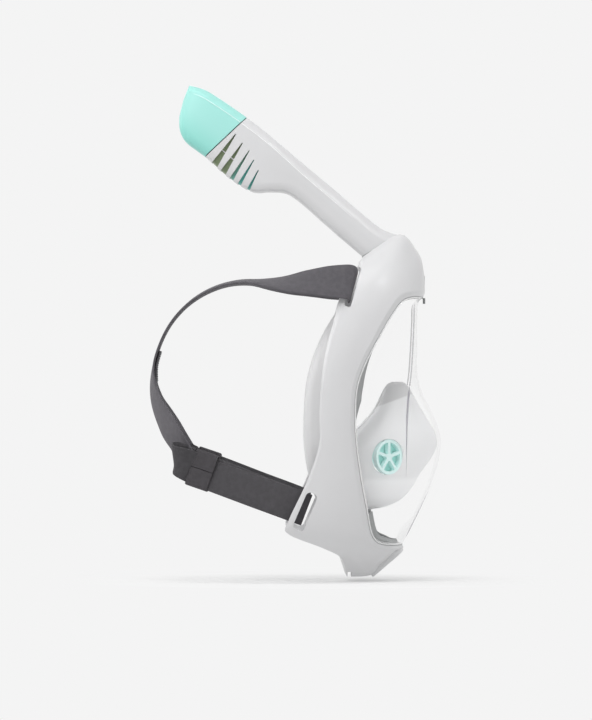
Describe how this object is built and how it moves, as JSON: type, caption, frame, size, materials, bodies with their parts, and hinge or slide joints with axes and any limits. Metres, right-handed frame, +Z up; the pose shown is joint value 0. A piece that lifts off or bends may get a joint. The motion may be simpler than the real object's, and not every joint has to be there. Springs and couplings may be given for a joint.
{
  "type": "full face snorkel mask",
  "caption": "Full-face snorkel mask with a clear visor, a silicone face skirt and nose pocket, a pull-off snorkel with a capped louvred head, and an elastic head strap.",
  "frame": {"origin": "centre of the face opening, where the wearer's face meets the skirt", "axes": "+Z up, -Y the way the wearer looks, +X the wearer's left; symmetric about X=0"},
  "size_m": [0.1808, 0.2267, 0.3828],
  "materials": {
    "grey_plastic": "satin, light neutral grey",
    "mint_plastic": "satin, pale mint green",
    "clear_lens": "clear moulded polycarbonate",
    "white_silicone": "translucent white silicone, matt",
    "grey_rubber": "soft, matt",
    "dark_webbing": "dark grey elastic webbing",
    "steel": "bright stainless",
    "foam": "closed-cell foam"
  },
  "bodies": {
    "mask": {"main_frame": "grey_plastic", "skirt_clamp_ring": "grey_plastic", "face_skirt": "white_silicone", "visor_lens": "clear_lens", "visor_seal": "grey_rubber", "visor_clip": "grey_plastic", "orinasal_pocket": "white_silicone", "inlet_valve_seat_right": "mint_plastic", "inlet_valve_seat_left": "mint_plastic", "chin_valve_seat": "grey_plastic", "chin_valve_cover": "grey_plastic", "button_guide": "grey_plastic", "button_spring": "steel", "head_strap_right": "dark_webbing", "head_strap_left": "dark_webbing", "lower_strap_right": "dark_webbing", "lower_strap_left": "dark_webbing", "strap_back_patch": "dark_webbing", "socket_gasket": "grey_rubber"},
    "snorkel": {"snorkel_tube": "grey_plastic", "snorkel_cap": "mint_plastic", "snorkel_plug": "grey_plastic", "snorkel_divider": "grey_plastic", "float_valve_seat": "grey_plastic", "float_pin": "steel"},
    "float": {"float_lever": "grey_plastic", "float_seal": "grey_rubber", "float_block": "foam"},
    "release_button": {"release_button": "grey_plastic"},
    "inlet_flap_right": {"inlet_valve_flap_right": "white_silicone"},
    "inlet_flap_left": {"inlet_valve_flap_left": "white_silicone"},
    "chin_flap": {"chin_valve_flap": "grey_rubber"},
    "keeper_right": {"strap_keeper_right": "dark_webbing"},
    "keeper_left": {"strap_keeper_left": "dark_webbing"}
  },
  "joints": [
    {"name": "snorkel_pull", "type": "slide", "parent": "mask", "child": "snorkel", "axis": [0, 0.5067, 0.8621], "range_m": [0, 0.028]},
    {"name": "float_swing", "type": "hinge", "parent": "snorkel", "child": "float", "pos_m": [0, 0.05584, 0.18004], "axis": [1, 0, 0], "range_deg": [0, 21]},
    {"name": "button_press", "type": "slide", "parent": "mask", "child": "release_button", "axis": [0, 1, 0], "range_m": [0, 0.002], "stiffness_N_per_m": 300, "springref_m": -0.001},
    {"name": "inlet_right_open", "type": "slide", "parent": "mask", "child": "inlet_flap_right", "axis": [0.7507, 0.6606, 0], "range_m": [0, 0.0008], "stiffness_N_per_m": 20, "springref_m": -0.001},
    {"name": "inlet_left_open", "type": "slide", "parent": "mask", "child": "inlet_flap_left", "axis": [-0.7507, 0.6606, 0], "range_m": [0, 0.0008], "stiffness_N_per_m": 20, "springref_m": -0.001},
    {"name": "chin_purge_open", "type": "slide", "parent": "mask", "child": "chin_flap", "axis": [0, -0.6476, -0.7619], "range_m": [0, 0.0008], "stiffness_N_per_m": 20, "springref_m": -0.001},
    {"name": "keeper_right_slide", "type": "slide", "parent": "mask", "child": "keeper_right", "axis": [-0.2086, -0.9178, -0.3379], "range_m": [-0.001, 0.035]},
    {"name": "keeper_left_slide", "type": "slide", "parent": "mask", "child": "keeper_left", "axis": [0.2086, -0.9178, -0.3379], "range_m": [-0.001, 0.035]}
  ]
}
